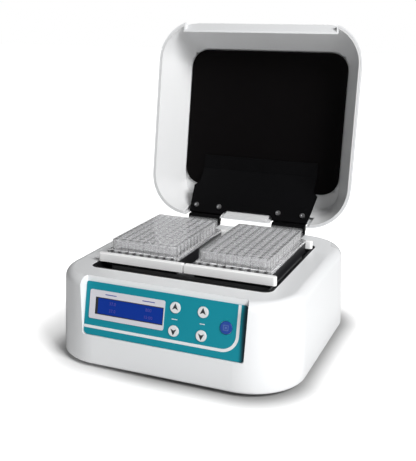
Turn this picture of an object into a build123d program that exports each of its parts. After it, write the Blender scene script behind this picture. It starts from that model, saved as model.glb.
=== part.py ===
from build123d import *
from math import cos, radians, sin, tan
import os

# Two-plate thermal mixer: a heated platform for microplates, moved in a small
# flat circle by an eccentric under a moulded casing, with a hinged lid.
# Millimetres. +Z is up, the front faces -Y, and the origin is on the bench
# under the middle of the open machine.

os.makedirs("parts", exist_ok=True)

# ---- driving dimensions -------------------------------------------------

# Base casing
base_y = -39.6  # middle of the platform
deck_width = 264.0
deck_depth = 256.0
casing_shift_y = 2.0  # casing behind the middle of the platform
deck_z = 96.0
casing_bottom_z = 4.0
casing_draft = 2.3  # degrees
corner_radius = 54.0
deck_edge_radius = 10.0
bottom_edge_radius = 2.5
wall = 3.0
cover_thickness = 3.0
cover_gap = 0.3
screw_post_radius = 4.5
cover_screw_radius = 1.5
cover_head_radius = 3.0
cover_screw_length = 13.0
cover_head_height = 1.6
screw_post_inset = 14.0  # from the side of the deck
screw_post_y = 68.0
rear_post_x = 78.0
rear_post_inset = 16.0  # from the rear of the deck
vent_x = 50.0
vent_y = 40.0
vent_slot_size = (3.0, 40.0)
vent_slot_pitch = 7.0
vent_slot_count = 6

# Feet
foot_radius = 9.0
foot_pitch_x = 196.0
foot_pitch_y = 186.0
foot_stud_radius = 3.9

# Well in the deck, with its liner and edge trim
well_width = 204.6
well_length = 174.0
well_shift_y = -2.0
well_radius = 10.0
trim_width = 3.3
trim_gap = 0.2
trim_drop = 0.3
liner_wall = 2.5
liner_flange = 8.0
liner_floor_z = 80.0

# Sloping control panel in its recess at the front
panel_tilt = 11.8  # degrees, leaning back
panel_setback = 5.9  # recess floor behind the front of the deck
panel_z = 63.2
panel_width = 176.6
panel_height = 55.4
panel_corner = 2.0
panel_thickness = 1.2
recess_gap = 0.3
recess_draft = 17.0
bezel_inset = (5.05, 7.75)  # from the upper left corner of the panel
bezel_key_gap = 11.25  # from the bezel to the middle of the nearest keys
bezel_height = 30.3
bezel_thickness = 0.6
window_margin = (6.85, 1.25)  # left and right of the window, inside the bezel
window_drop = 7.45  # under the top of the bezel
window_height = 17.6
window_gap = 0.2
key_radius = 5.6
run_key_radius = 6.25
key_insets_x = (74.8, 45.0)  # from the right edge of the panel
key_insets_y = (36.5, 13.0)  # from its top edge
run_key_inset = (20.1, 24.3)
key_proud = 0.9
key_travel = 0.5
key_stem_radius = 2.5
key_collar_radius = 3.6
key_stem_depth = 6.0
key_gap = 0.3
board_thickness = 1.6
board_depth = 10.0  # control board behind the recess floor
board_inset = 3.5
board_post_inset = 7.25
board_post_radius = 3.0
board_stake_radius = 1.2

# Orbital drive
orbit_radius = 1.5
drive_plate_z = 52.0
drive_plate_thickness = 4.0
drive_plate_size = (196.0, 130.0)
post_radius = 6.0
post_pitch = (164.0, 108.0)
stud_radius = 2.0
motor_radius = 21.0
motor_length = 30.0
spindle_radius = 3.0
crank_radius = 12.0
crank_z = 60.0
crank_thickness = 6.0
journal_radius = 5.0
bearing_radius = 11.0
bearing_width = 7.0
idler_pitch = (148.0, 74.0)
idler_journal_radius = 2.5
idler_disc_radius = 7.5
idler_bearing_radius = 6.5
idler_bearing_width = 5.0
idler_boss_radius = 9.0
running_gap = 0.05
press_gap = 0.02
counterweight_radius = 34.0
counterweight_thickness = 6.0

idler_disc_z = 58.0
idler_disc_thickness = 5.0
idler_bearing_z = 77.0
bearing_z = 72.0

# Boards under the drive
board_size = (46.0, 96.0)
board_x = 51.0
board_y = 6.0
board_standoff_z = 10.0
supply_height = 30.0
supply_slot_size = (4.0, 70.0)
supply_slot_pitch = 10.0
supply_slot_depth = 8.0
chip_size = (14.0, 14.0, 2.0)
relay_size = (16.0, 12.0, 14.0)
relay_place = (6.0, 30.0)  # from the middle of the board
plug_row_size = (30.0, 7.0, 9.0)
plug_row_place = (0.0, -36.0)
capacitor_radius = 4.5
capacitor_height = 16.0
capacitor_places = ((-12.0, 20.0), (-12.0, 32.0))

# Moving platform
carrier_z = 84.0
carrier_thickness = 4.0
carrier_size = (184.0, 124.0)
hub_radius = 14.0
pad_thickness = 3.0
heater_thickness = 1.0
block_top_z = 105.0
block_length = 129.0
block_inset = 1.0  # block inside the plate on it, each long side
nest_height = 1.9  # raised middle of the block, inside the hollow under the plate
strip_end_x = 101.2
strip_thickness = 6.4
strip_bottom_z = 97.0
strip_top_z = 106.3
strip_split = 1.0
block_screw_radius = 1.5
block_head_radius = 2.8
block_head_height = 2.6
block_screw_bite = 3.0  # into the carrier
block_screw_inset = (5.7, 12.5)  # from the sides and ends of the block
sensor_radius = 1.5

# Microplates, standard footprint, long side front to back
plate_width = 85.48
plate_length = 127.76
plate_height = 14.35
plate_middle_x = 52.0
plate_flange_height = 3.0
plate_inset = 4.6
plate_corner = 3.2
well_pitch = 9.0
plate_well_radius = 3.5
plate_well_depth = 10.8
plate_hollow_depth = 2.2
plate_skirt = 2.0  # wall round the hollow under the plate
nest_gap = 0.4
seat_gap = 0.3
plate_lid_wall = 1.2
plate_lid_top = 1.4
plate_lid_inset = 2.9
plate_lid_skirt = 9.5

# Lid
lid_lean = 8.8  # degrees past upright when open
lid_gap = 0.5  # rim above the deck when shut
lid_side_inset = 1.5  # rim inside the deck, each side
lid_height = 60.0
lid_draft = 11.0
lid_corner_radius = 51.0
lid_edge_radius = 16.0
lid_wall = 2.0
liner_gap = 0.2
lid_liner_wall = 1.8
lid_panel_depth = 47.7  # from the rim to the face of the black panel
lid_panel_inset = (26.5, 34.7)  # from the sides and ends of the rim
lid_panel_shift = 3.3
lid_panel_radius = 22.0
lid_panel_thickness = 3.0
lid_heater_thickness = 1.2
lid_floor_thickness = 2.2
scoop_half = 97.0
scoop_run = 12.0
scoop_depth = 14.6
liner_panel_gap = 0.5
liner_low_end = 20.0  # lower end of the liner floor, up the lid
liner_deep_radius = 22.0
lid_floor_ledge = 4.0  # under the edge of the panel
lid_insulation_inset = 4.0
lid_insulation_thickness = 5.2

# Lid hinge
axis_y = 122.0  # from the middle of the base
axis_above_deck = 7.5
axis_outside_lid = 2.0
knuckle_radius = 4.5
hinge_pin_radius = 2.0
hinge_middle_x = 56.0
hinge_width = 42.0
moving_knuckle = 14.0
knuckle_gap = 0.3
hinge_notch_width = 47.0
hinge_notch_depth = 14.0
liner_notch_width = 55.0
liner_notch_depth = 26.0
leaf_thickness = 2.0
leaf_reach = 24.0
plate_steel = 2.0
bracket_slope = 35.0
bracket_face = 3.5  # in front of the hinge axis
bracket_half = 77.0
flange_low = 58.8
flange_high = 77.0
# Right edge of the bracket, from the top corner down and round the leg
bracket_outline = (
    (77.0, 78.0),
    (77.0, 51.4),
    (83.0, 45.4),
    (79.9, 17.8),
    (78.0, 5.6),
    (33.0, 5.6),
    (33.0, 8.7),
    (29.0, 12.7),
)
bracket_screw_x = (39.6, 70.9)
bracket_screw_w = 15.4
hinge_screw_radius = 1.95
hinge_head_radius = 3.2
hinge_head_height = 1.6
hinge_screw_length = 5.0
mount_screw_radius = 1.6
mount_head_radius = 3.0
mount_head_height = 1.5
mount_screw_length = 8.0
mount_screw_y = 105.0  # from the middle of the base
mount_reach = 24.0
mount_thickness = 2.2

# Rear fittings
rear_z = 34.0
inlet_x = 56.0
inlet_body = (27.2, 19.6)
inlet_flange = (31.0, 24.5)
inlet_cavity = (23.4, 15.8)
inlet_depth = 22.0
inlet_pin_size = (2.0, 4.0)
inlet_pin_spots = ((-7.0, -2.0), (0.0, 2.5), (7.0, -2.0))
switch_x = 14.0
switch_body = (12.6, 19.0)
switch_flange = (15.4, 22.0)
switch_cavity = (10.0, 16.6)
rocker_tilt = 9.0
rocker_pin_radius = 1.1
fuse_x = -18.0
fuse_radius = 6.2
fuse_length = 24.0
rear_slots_x = -62.0
rear_slot_size = (3.0, 24.0)
rear_slot_pitch = 7.0
rear_slot_count = 7
fitting_gap = 0.2
flange_thickness = 2.0

# ---- planes and worked-out sizes ----------------------------------------

draft_slope = tan(radians(casing_draft))
inner_top_z = deck_z - wall
cover_top_z = casing_bottom_z + cover_thickness
drive_y = base_y - orbit_radius
drive_plate_top = drive_plate_z + drive_plate_thickness
crank_top = crank_z + crank_thickness
pad_z = carrier_z + carrier_thickness
heater_z = pad_z + pad_thickness
block_z = heater_z + heater_thickness
plate_z = block_top_z + seat_gap
plate_top_z = plate_z + plate_height
axis_z = deck_z + axis_above_deck
casing_rear = deck_depth / 2 + casing_shift_y
casing_front = deck_depth / 2 - casing_shift_y

base = Plane((0, base_y, 0))
casing = Plane((0, base_y + casing_shift_y, 0))
drive = Plane((0, drive_y, 0))

panel_normal = (0, -cos(radians(panel_tilt)), sin(radians(panel_tilt)))
panel = Plane((0, base_y - casing_front + panel_setback, panel_z), x_dir=(1, 0, 0), z_dir=panel_normal)

# The lid is drawn as it stands open: across, up the lid, and out of its rim.
lid_up = Vector(0, sin(radians(lid_lean)), cos(radians(lid_lean)))
lid_out = Vector(0, -cos(radians(lid_lean)), sin(radians(lid_lean)))
axis_point = Vector(0, base_y + axis_y, axis_z)
axis_depth = axis_above_deck - lid_gap  # axis behind the rim plane
rim_origin = axis_point + lid_up * axis_outside_lid + lid_out * axis_depth
lid = Plane(rim_origin, x_dir=(1, 0, 0), z_dir=lid_out)
lid_side = Plane(rim_origin, x_dir=lid_up, z_dir=(1, 0, 0))
lid_axis = Axis(rim_origin, lid_out)
lid_width = deck_width - 2 * lid_side_inset
lid_length = axis_y - axis_outside_lid + casing_front  # reaches the front of the deck when shut
lid_middle = lid_length / 2
lid_inner_gap = lid_wall + liner_gap
lid_rim = lid_inner_gap + lid_liner_wall
lid_panel_size = (lid_width - 2 * lid_panel_inset[0], lid_length - 2 * lid_panel_inset[1])
lid_panel_seat = lid_panel_depth + lid_panel_thickness  # face of the liner floor
panel_middle = (0, lid_middle + lid_panel_shift)
lid_floor_opening = [s - 2 * lid_floor_ledge for s in lid_panel_size]
liner_rim_size = (lid_width - 2 * lid_rim, lid_length - 2 * lid_rim)
liner_rim_radius = lid_corner_radius - lid_rim
liner_high_end = panel_middle[1] + lid_panel_size[1] / 2 + liner_panel_gap
liner_deep_middle = (liner_high_end + liner_low_end) / 2
liner_deep_size = (lid_panel_size[0] + 2 * liner_panel_gap, liner_high_end - liner_low_end)

# The hinge bracket runs through the hinge axis, up and back from it.
slope = radians(bracket_slope)
bracket_normal = lid_up * sin(slope) + lid_out * cos(slope)
bracket = Plane(axis_point, x_dir=(1, 0, 0), z_dir=bracket_normal)
hinge_axis = Plane(axis_point, x_dir=(0, 1, 0), z_dir=(1, 0, 0))

rear_normal = (0, cos(radians(casing_draft)), sin(radians(casing_draft)))

screw_post_x = deck_width / 2 - screw_post_inset
post_spots = [(sx * screw_post_x, sy * screw_post_y) for sx in (-1, 1) for sy in (-1, 1)]
post_spots += [(sx * rear_post_x, casing_rear - rear_post_inset) for sx in (-1, 1)]
foot_spots = [(sx * foot_pitch_x / 2, sy * foot_pitch_y / 2) for sx in (-1, 1) for sy in (-1, 1)]
drive_post_spots = [(sx * post_pitch[0] / 2, sy * post_pitch[1] / 2) for sx in (-1, 1) for sy in (-1, 1)]
idler_spots = [(sx * idler_pitch[0] / 2, sy * idler_pitch[1] / 2) for sx in (-1, 1) for sy in (-1, 1)]
# The bezel fills the panel from its left edge to the keys, and the window fills the bezel.
bezel_size = (panel_width - key_insets_x[0] - bezel_key_gap - bezel_inset[0], bezel_height)
window_size = (bezel_size[0] - sum(window_margin), window_height)
bezel_center = (bezel_inset[0] + bezel_size[0] / 2 - panel_width / 2,
                panel_height / 2 - bezel_inset[1] - bezel_size[1] / 2)
window_center = (bezel_center[0] + (window_margin[0] - window_margin[1]) / 2,
                 bezel_center[1] + (bezel_height - window_height) / 2 - window_drop)
key_spots = [(panel_width / 2 - x, panel_height / 2 - y) for x in key_insets_x for y in key_insets_y]
run_key_at = (panel_width / 2 - run_key_inset[0], panel_height / 2 - run_key_inset[1])
board_post_u = panel_width / 2 - board_post_inset
board_post_v = panel_height / 2 - board_post_inset
board_spots = [(sx * board_post_u, sy * board_post_v) for sx in (-1, 1) for sy in (-1, 1)]
hinge_xs = (-hinge_middle_x, hinge_middle_x)
mount_screw_spots = [(x + dx, mount_screw_y) for x in hinge_xs for dx in (-13.0, 13.0)]
bracket_screw_spots = [(sx * x, bracket_screw_w) for sx in (-1, 1) for x in bracket_screw_x]
standoff_spots = [(-board_x + sx * 19.5, board_y + sy * 44.5) for sx in (-1, 1) for sy in (-1, 1)]
block_xs = (-plate_middle_x, plate_middle_x)
block_width = plate_width - 2 * block_inset
block_screw_dx = block_width / 2 - block_screw_inset[0]
block_screw_dy = block_length / 2 - block_screw_inset[1]
block_screw_spots = [(x + sx * block_screw_dx, sy * block_screw_dy)
                     for x in block_xs for sx in (-1, 1) for sy in (-1, 1)]
sensor_spots = [(x, 20.0) for x in block_xs]


def casing_span(span, z):
    """Width or depth of the drafted casing at a height."""
    return span + 2 * (deck_z - z) * draft_slope


def rear_plane(x):
    """Plane on the outside of the rear wall, its Y up the wall."""
    y = base_y + casing_shift_y + casing_span(deck_depth, rear_z) / 2
    return Plane((x, y, rear_z), x_dir=(-1, 0, 0), z_dir=rear_normal)


def save(builder, name):
    """Label a finished piece and write its STEP file."""
    builder.part.label = name
    export_step(builder.part, f"parts/{name}.step")


def discs(plane, spots, radius, height, mode=Mode.ADD):
    """Add or cut round posts of one height on a plane."""
    with BuildPart() as made:
        with BuildSketch(plane):
            with Locations(*spots):
                Circle(radius)
        extrude(amount=height)
    add(made.part, mode=mode)


def block(plane, size, height, spot=(0, 0), mode=Mode.ADD):
    """Add or cut a plain block on a plane."""
    with BuildPart() as made:
        with BuildSketch(plane):
            with Locations(spot):
                Rectangle(*size)
        extrude(amount=height)
    add(made.part, mode=mode)


def screws(plane, spots, head_radius, head_height, shank_radius, length):
    """Screws seated on a plane, with a six-sided socket in each head."""
    with BuildPart() as made:
        discs(plane, spots, shank_radius, -length)
        discs(plane, spots, head_radius, head_height)
        with BuildSketch(plane.offset(head_height)):
            with Locations(*spots):
                RegularPolygon(head_radius * 0.5, 6)
        extrude(amount=-head_height * 0.6, mode=Mode.SUBTRACT)
    return made


# ---- base casing --------------------------------------------------------


def recess_tool(grow):
    """Flared block that cuts the panel recess, grown by a wall thickness."""
    half = panel_width / 2 + recess_gap + grow
    low = -panel_height / 2 - recess_gap - grow
    with BuildPart() as tool:
        with BuildSketch(panel.offset(-grow)):
            with BuildLine():
                Polyline((-half, panel_height), (-half, low), (half, low), (half, panel_height), close=True)
            make_face()
            fillet(vertices().sort_by(Axis.Y)[:2], panel_corner + grow)
        extrude(amount=34, taper=-recess_draft)
    return tool.part


with BuildPart() as cavity:
    with BuildSketch(casing.offset(inner_top_z)):
        RectangleRounded(deck_width - 2 * wall, deck_depth - 2 * wall, corner_radius - wall)
    extrude(amount=-(inner_top_z - casing_bottom_z), taper=-casing_draft)
    fillet(faces().sort_by(Axis.Z)[-1].edges(), deck_edge_radius - wall)
    add(recess_tool(wall), mode=Mode.SUBTRACT)

with BuildPart() as base_housing:
    with BuildSketch(casing.offset(deck_z)):
        RectangleRounded(deck_width, deck_depth, corner_radius)
    extrude(amount=-(deck_z - casing_bottom_z), taper=-casing_draft)
    fillet(faces().sort_by(Axis.Z)[-1].edges(), deck_edge_radius)
    fillet(faces().sort_by(Axis.Z)[0].edges(), bottom_edge_radius)
    add(cavity.part, mode=Mode.SUBTRACT)
    add(recess_tool(0), mode=Mode.SUBTRACT)
    # Opening of the well
    with BuildSketch(base.offset(inner_top_z)):
        with Locations((0, well_shift_y)):
            RectangleRounded(well_width, well_length, well_radius)
    extrude(amount=wall, mode=Mode.SUBTRACT)
    # Posts for the screws of the bottom cover
    discs(base.offset(cover_top_z), post_spots, screw_post_radius, inner_top_z - cover_top_z)
    discs(base.offset(cover_top_z), post_spots, cover_screw_radius, cover_screw_length + 1, mode=Mode.SUBTRACT)
    # Holes for the hinge screws
    discs(base.offset(inner_top_z), mount_screw_spots, mount_screw_radius + 0.1, wall, mode=Mode.SUBTRACT)
    # Display window and key stems through the recess floor, board posts behind it
    block(panel, [s + 2 * window_gap for s in window_size], -wall, window_center, mode=Mode.SUBTRACT)
    discs(panel, key_spots + [run_key_at], key_stem_radius + key_gap, -wall, mode=Mode.SUBTRACT)
    discs(panel.offset(-wall), board_spots, board_post_radius, wall - board_depth)
    discs(panel.offset(-board_depth), board_spots, board_stake_radius, -board_thickness - 1)
    # Mains inlet, switch and fuse in the rear wall, with cooling slots beside them
    block(rear_plane(inlet_x), [s + 2 * fitting_gap for s in inlet_body], -2 * wall, mode=Mode.SUBTRACT)
    block(rear_plane(switch_x), [s + 2 * fitting_gap for s in switch_body], -2 * wall, mode=Mode.SUBTRACT)
    discs(rear_plane(fuse_x), [(0, 0)], fuse_radius + fitting_gap, -2 * wall, mode=Mode.SUBTRACT)
    with BuildSketch(rear_plane(rear_slots_x)):
        with GridLocations(rear_slot_pitch, 1, rear_slot_count, 1):
            Rectangle(rear_slot_size[0], rear_slot_size[1])
    extrude(amount=-2 * wall, mode=Mode.SUBTRACT)

save(base_housing, "base_housing")

cover_width = casing_span(deck_width - 2 * wall, cover_top_z + wall) - 2 * cover_gap
cover_depth = casing_span(deck_depth - 2 * wall, cover_top_z + wall) - 2 * cover_gap
cover_corner = corner_radius - wall + (inner_top_z - cover_top_z) * draft_slope

with BuildPart() as bottom_cover:
    with BuildSketch(casing.offset(casing_bottom_z)):
        RectangleRounded(cover_width, cover_depth, cover_corner)
    extrude(amount=cover_thickness)
    discs(base.offset(casing_bottom_z), post_spots, cover_screw_radius + 0.1, cover_thickness, mode=Mode.SUBTRACT)
    discs(base.offset(casing_bottom_z), post_spots, cover_head_radius + 0.2, cover_head_height + 0.2,
          mode=Mode.SUBTRACT)
    discs(base.offset(casing_bottom_z), foot_spots, foot_stud_radius + press_gap, cover_thickness,
          mode=Mode.SUBTRACT)
    discs(drive.offset(casing_bottom_z), drive_post_spots, stud_radius + press_gap, cover_thickness,
          mode=Mode.SUBTRACT)
    for side in (-1, 1):
        with BuildSketch(base.offset(casing_bottom_z)):
            with Locations((side * vent_x, vent_y)):
                with GridLocations(vent_slot_pitch, 1, vent_slot_count, 1):
                    Rectangle(vent_slot_size[0], vent_slot_size[1])
        extrude(amount=cover_thickness, mode=Mode.SUBTRACT)

save(bottom_cover, "bottom_cover")

with BuildPart() as feet:
    discs(Plane((0, base_y, 0)), foot_spots, foot_radius, casing_bottom_z)
    discs(base.offset(casing_bottom_z), foot_spots, foot_stud_radius, cover_thickness)
    discs(base.offset(cover_top_z), foot_spots, foot_stud_radius + 1, 1.5)
    chamfer(faces().filter_by(Axis.Z).sort_by(Axis.Z)[:4].edges(), 1)

save(feet, "feet")

cover_under = Plane((0, base_y, casing_bottom_z + cover_head_height + 0.2), x_dir=(1, 0, 0), z_dir=(0, 0, -1))
cover_screws = screws(cover_under, [(x, -y) for x, y in post_spots],
                      cover_head_radius, cover_head_height, cover_screw_radius, cover_screw_length)
save(cover_screws, "cover_screws")

# ---- well liner and trim ------------------------------------------------

trim_half = trim_gap + trim_width  # from the edge of the opening to the well

with BuildPart() as well_liner:
    with BuildSketch(base.offset(liner_floor_z)):
        with Locations((0, well_shift_y)):
            RectangleRounded(well_width - 2 * trim_half + 2 * liner_wall,
                             well_length - 2 * trim_half + 2 * liner_wall, well_radius)
    extrude(amount=inner_top_z - liner_floor_z)
    with BuildSketch(base.offset(inner_top_z - liner_wall)):
        with Locations((0, well_shift_y)):
            RectangleRounded(well_width + 2 * liner_flange, well_length + 2 * liner_flange, well_radius)
    extrude(amount=liner_wall)
    with BuildSketch(base.offset(liner_floor_z + liner_wall)):
        with Locations((0, well_shift_y)):
            RectangleRounded(well_width - 2 * trim_half, well_length - 2 * trim_half,
                             well_radius - liner_wall)
    extrude(amount=20, mode=Mode.SUBTRACT)
    discs(drive.offset(liner_floor_z), [(0, 0)], hub_radius + orbit_radius + 3, liner_wall, mode=Mode.SUBTRACT)
    discs(drive.offset(liner_floor_z), idler_spots, idler_boss_radius + orbit_radius + 2, liner_wall,
          mode=Mode.SUBTRACT)

save(well_liner, "well_liner")

with BuildPart() as well_bezel:
    with BuildSketch(base.offset(inner_top_z)):
        with Locations((0, well_shift_y)):
            RectangleRounded(well_width - 2 * trim_gap, well_length - 2 * trim_gap, well_radius - trim_gap)
            RectangleRounded(well_width - 2 * trim_half, well_length - 2 * trim_half,
                             well_radius - liner_wall, mode=Mode.SUBTRACT)
    extrude(amount=wall - trim_drop)

save(well_bezel, "well_bezel")

# ---- control panel ------------------------------------------------------

with BuildPart() as front_panel:
    with BuildSketch(panel):
        RectangleRounded(panel_width, panel_height, panel_corner)
        with Locations(window_center):
            Rectangle(*[s + 2 * window_gap for s in window_size], mode=Mode.SUBTRACT)
        with Locations(*key_spots):
            Circle(key_radius + key_gap, mode=Mode.SUBTRACT)
        with Locations(run_key_at):
            Circle(run_key_radius + key_gap, mode=Mode.SUBTRACT)
    extrude(amount=panel_thickness)

save(front_panel, "front_panel")

with BuildPart() as display_bezel:
    with BuildSketch(panel.offset(panel_thickness)):
        with Locations(bezel_center):
            RectangleRounded(*bezel_size, 2)
        with Locations(window_center):
            Rectangle(*[s + 2 * window_gap for s in window_size], mode=Mode.SUBTRACT)
    extrude(amount=bezel_thickness)

save(display_bezel, "display_bezel")

with BuildPart() as display_window:
    block(panel, window_size, panel_thickness + 0.2, window_center)

save(display_window, "display_window")

with BuildPart() as display_module:
    block(panel.offset(-window_gap), window_size, -7.2, window_center)
    block(panel.offset(-wall - window_gap), [s + 6 for s in window_size], -4.2, window_center)
    block(panel.offset(-7), (40, 5), window_gap + 7 - board_depth, window_center)

save(display_module, "display_module")

with BuildPart() as control_board:
    block(panel.offset(-board_depth), (panel_width - 2 * board_inset, panel_height - 2 * board_inset),
          -board_thickness)
    discs(panel.offset(-board_depth), board_spots, board_stake_radius + press_gap, -board_thickness,
          mode=Mode.SUBTRACT)
    discs(panel.offset(-board_depth), key_spots + [run_key_at], key_stem_radius + 1,
          board_depth - key_stem_depth - key_travel - key_gap)

save(control_board, "control_board")

for name, spot, radius in [
    ("key_temperature_down", key_spots[0], key_radius),
    ("key_temperature_up", key_spots[1], key_radius),
    ("key_speed_down", key_spots[2], key_radius),
    ("key_speed_up", key_spots[3], key_radius),
    ("key_run", run_key_at, run_key_radius),
]:
    with BuildPart() as key:
        discs(panel.offset(panel_thickness + key_proud), [spot], radius, -key_proud - panel_thickness + 0.7)
        discs(panel.offset(0.7), [spot], key_stem_radius, -0.7 - key_stem_depth)
        discs(panel.offset(-wall - key_gap), [spot], key_collar_radius, -1)
        fillet(faces().sort_by(Axis((0, 0, 0), panel_normal))[-1].edges(), 0.4)
    save(key, name)

# ---- drive --------------------------------------------------------------

with BuildPart() as drive_posts:
    discs(drive.offset(cover_top_z), drive_post_spots, post_radius, drive_plate_z - cover_top_z)
    discs(drive.offset(casing_bottom_z + 0.5), drive_post_spots, stud_radius, cover_thickness)
    discs(drive.offset(drive_plate_z), drive_post_spots, stud_radius, drive_plate_thickness + 1.5)

save(drive_posts, "drive_posts")

with BuildPart() as drive_plate:
    with BuildSketch(drive.offset(drive_plate_z)):
        RectangleRounded(*drive_plate_size, 8)
        with Locations(*drive_post_spots):
            Circle(stud_radius + press_gap, mode=Mode.SUBTRACT)
        with Locations(*idler_spots):
            Circle(idler_bearing_radius + press_gap, mode=Mode.SUBTRACT)
        Circle(spindle_radius + 5, mode=Mode.SUBTRACT)
        with PolarLocations(motor_radius - 5, 4, 45):
            Circle(stud_radius + press_gap, mode=Mode.SUBTRACT)
    extrude(amount=drive_plate_thickness)

save(drive_plate, "drive_plate")

with BuildPart() as motor:
    discs(drive.offset(drive_plate_z), [(0, 0)], motor_radius, -motor_length)
    fillet(faces().sort_by(Axis.Z)[0].edges(), 3)
    with BuildSketch(drive.offset(drive_plate_z)):
        with PolarLocations(motor_radius - 5, 4, 45):
            Circle(stud_radius)
    extrude(amount=drive_plate_thickness)
    discs(drive.offset(drive_plate_z), [(0, 0)], spindle_radius + running_gap, -motor_length + 3,
          mode=Mode.SUBTRACT)

save(motor, "motor")

with BuildPart() as drive_spindle:
    discs(drive.offset(drive_plate_z - motor_length + 4), [(0, 0)], spindle_radius,
          crank_top - 2 - drive_plate_z + motor_length - 4)

save(drive_spindle, "drive_spindle")

with BuildPart() as drive_crank:
    discs(drive.offset(crank_z - 4), [(0, 0)], crank_radius - 2, crank_thickness + 4)
    discs(drive.offset(crank_top - 2), [(0, 0)], crank_radius, 2)
    discs(base.offset(crank_top), [(0, 0)], journal_radius, bearing_z + bearing_width - crank_top)
    discs(drive.offset(crank_z - 4), [(0, 0)], spindle_radius + press_gap, crank_thickness + 2,
          mode=Mode.SUBTRACT)

save(drive_crank, "drive_crank")

with BuildPart() as counterweight:
    with BuildSketch(drive.offset(crank_z - 3)):
        Circle(counterweight_radius)
        with Locations((0, counterweight_radius / 2 + 6)):
            Rectangle(2 * counterweight_radius, counterweight_radius + 12 - 12 + 6, mode=Mode.SUBTRACT)
        Circle(crank_radius + 2)
        Circle(crank_radius - 2 + press_gap, mode=Mode.SUBTRACT)
    extrude(amount=counterweight_thickness)

save(counterweight, "counterweight")

with BuildPart() as platform_bearing:
    with BuildSketch(base.offset(bearing_z)):
        Circle(bearing_radius)
        Circle(journal_radius + running_gap, mode=Mode.SUBTRACT)
    extrude(amount=bearing_width)

save(platform_bearing, "platform_bearing")

for plane, low_z, name in [
    (drive, drive_plate_z - 0.5, "idler_lower_bearings"),
    (base, idler_bearing_z, "idler_upper_bearings"),
]:
    with BuildPart() as bearings:
        with BuildSketch(plane.offset(low_z)):
            with Locations(*idler_spots):
                Circle(idler_bearing_radius)
                Circle(idler_journal_radius + running_gap, mode=Mode.SUBTRACT)
        extrude(amount=idler_bearing_width)
    save(bearings, name)

for spot, name in zip(idler_spots, ("idler_front_left", "idler_rear_left", "idler_front_right", "idler_rear_right")):
    with BuildPart() as idler:
        discs(drive.offset(drive_plate_z), [spot], idler_journal_radius, idler_disc_z - drive_plate_z)
        discs(drive.offset(idler_disc_z), [spot], idler_disc_radius, idler_disc_thickness)
        discs(base.offset(idler_disc_z + idler_disc_thickness), [spot], idler_journal_radius,
              idler_bearing_z + idler_bearing_width - idler_disc_z - idler_disc_thickness)
    save(idler, name)

# ---- boards in the base -------------------------------------------------

with BuildPart() as board_standoffs:
    discs(base.offset(cover_top_z), standoff_spots, 3, board_standoff_z)
    discs(base.offset(cover_top_z + board_standoff_z), standoff_spots, board_stake_radius, board_thickness + 1)

save(board_standoffs, "board_standoffs")

with BuildPart() as main_board:
    block(base.offset(cover_top_z + board_standoff_z), board_size, board_thickness, (-board_x, board_y))
    discs(base.offset(cover_top_z + board_standoff_z), standoff_spots, board_stake_radius + press_gap,
          board_thickness, mode=Mode.SUBTRACT)
    part_z = base.offset(cover_top_z + board_standoff_z + board_thickness)
    for size, (dx, dy) in [(chip_size, (0, 0)), (relay_size, relay_place), (plug_row_size, plug_row_place)]:
        block(part_z, size[:2], size[2], (-board_x + dx, board_y + dy))
    discs(part_z, [(-board_x + dx, board_y + dy) for dx, dy in capacitor_places], capacitor_radius,
          capacitor_height)

save(main_board, "main_board")

with BuildPart() as power_supply:
    block(base.offset(cover_top_z), board_size, supply_height, (board_x, board_y))
    with BuildSketch(base.offset(cover_top_z + supply_height)):
        with Locations((board_x, board_y)):
            with GridLocations(supply_slot_pitch, 1, 4, 1):
                Rectangle(*supply_slot_size)
    extrude(amount=-supply_slot_depth, mode=Mode.SUBTRACT)

save(power_supply, "power_supply")

# ---- rear fittings ------------------------------------------------------

inlet = rear_plane(inlet_x)
with BuildPart() as inlet_socket:
    with BuildSketch(inlet):
        RectangleRounded(*inlet_flange, 2)
    extrude(amount=flange_thickness)
    block(inlet, inlet_body, -inlet_depth)
    block(inlet.offset(flange_thickness), inlet_cavity, -inlet_depth + 4, mode=Mode.SUBTRACT)
    for spot in inlet_pin_spots:
        block(inlet, [s + 2 * press_gap for s in inlet_pin_size], -inlet_depth, spot, mode=Mode.SUBTRACT)

save(inlet_socket, "inlet_socket")

with BuildPart() as inlet_pins:
    for spot in inlet_pin_spots:
        block(inlet.offset(-4), inlet_pin_size, -inlet_depth, spot)

save(inlet_pins, "inlet_pins")

switch = rear_plane(switch_x)
with BuildPart() as switch_frame:
    with BuildSketch(switch):
        RectangleRounded(*switch_flange, 1.5)
    extrude(amount=flange_thickness)
    block(switch, switch_body, -16)
    block(switch.offset(flange_thickness), switch_cavity, -16, mode=Mode.SUBTRACT)
    with BuildSketch(Plane(switch.origin, x_dir=switch.y_dir, z_dir=switch.x_dir)):
        Circle(rocker_pin_radius + running_gap)
    extrude(amount=switch_body[0] / 2 - 0.4, both=True, mode=Mode.SUBTRACT)

save(switch_frame, "switch_frame")

tilt = radians(rocker_tilt)
rocker_up = switch.y_dir * cos(tilt) + switch.z_dir * sin(tilt)
rocker_side = Plane(switch.origin, x_dir=rocker_up, z_dir=switch.x_dir)
with BuildPart() as power_rocker:
    with BuildSketch(rocker_side):
        with BuildLine():
            Polyline((-7.4, 3.4), (0, 2.2), (7.4, 3.4), (5.6, -4.5), (-5.6, -4.5), close=True)
        make_face()
    extrude(amount=switch_cavity[0] / 2 - fitting_gap, both=True)
    with BuildSketch(rocker_side):
        Circle(rocker_pin_radius)
    extrude(amount=switch_body[0] / 2 - 0.6, both=True)

save(power_rocker, "power_rocker")

fuse = rear_plane(fuse_x)
with BuildPart() as fuse_holder:
    discs(fuse, [(0, 0)], fuse_radius, -fuse_length)
    discs(fuse, [(0, 0)], fuse_radius + 1.6, 2.5)
    block(fuse.offset(2.5), (9, 1.4), -1.2, mode=Mode.SUBTRACT)

save(fuse_holder, "fuse_holder")

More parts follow.
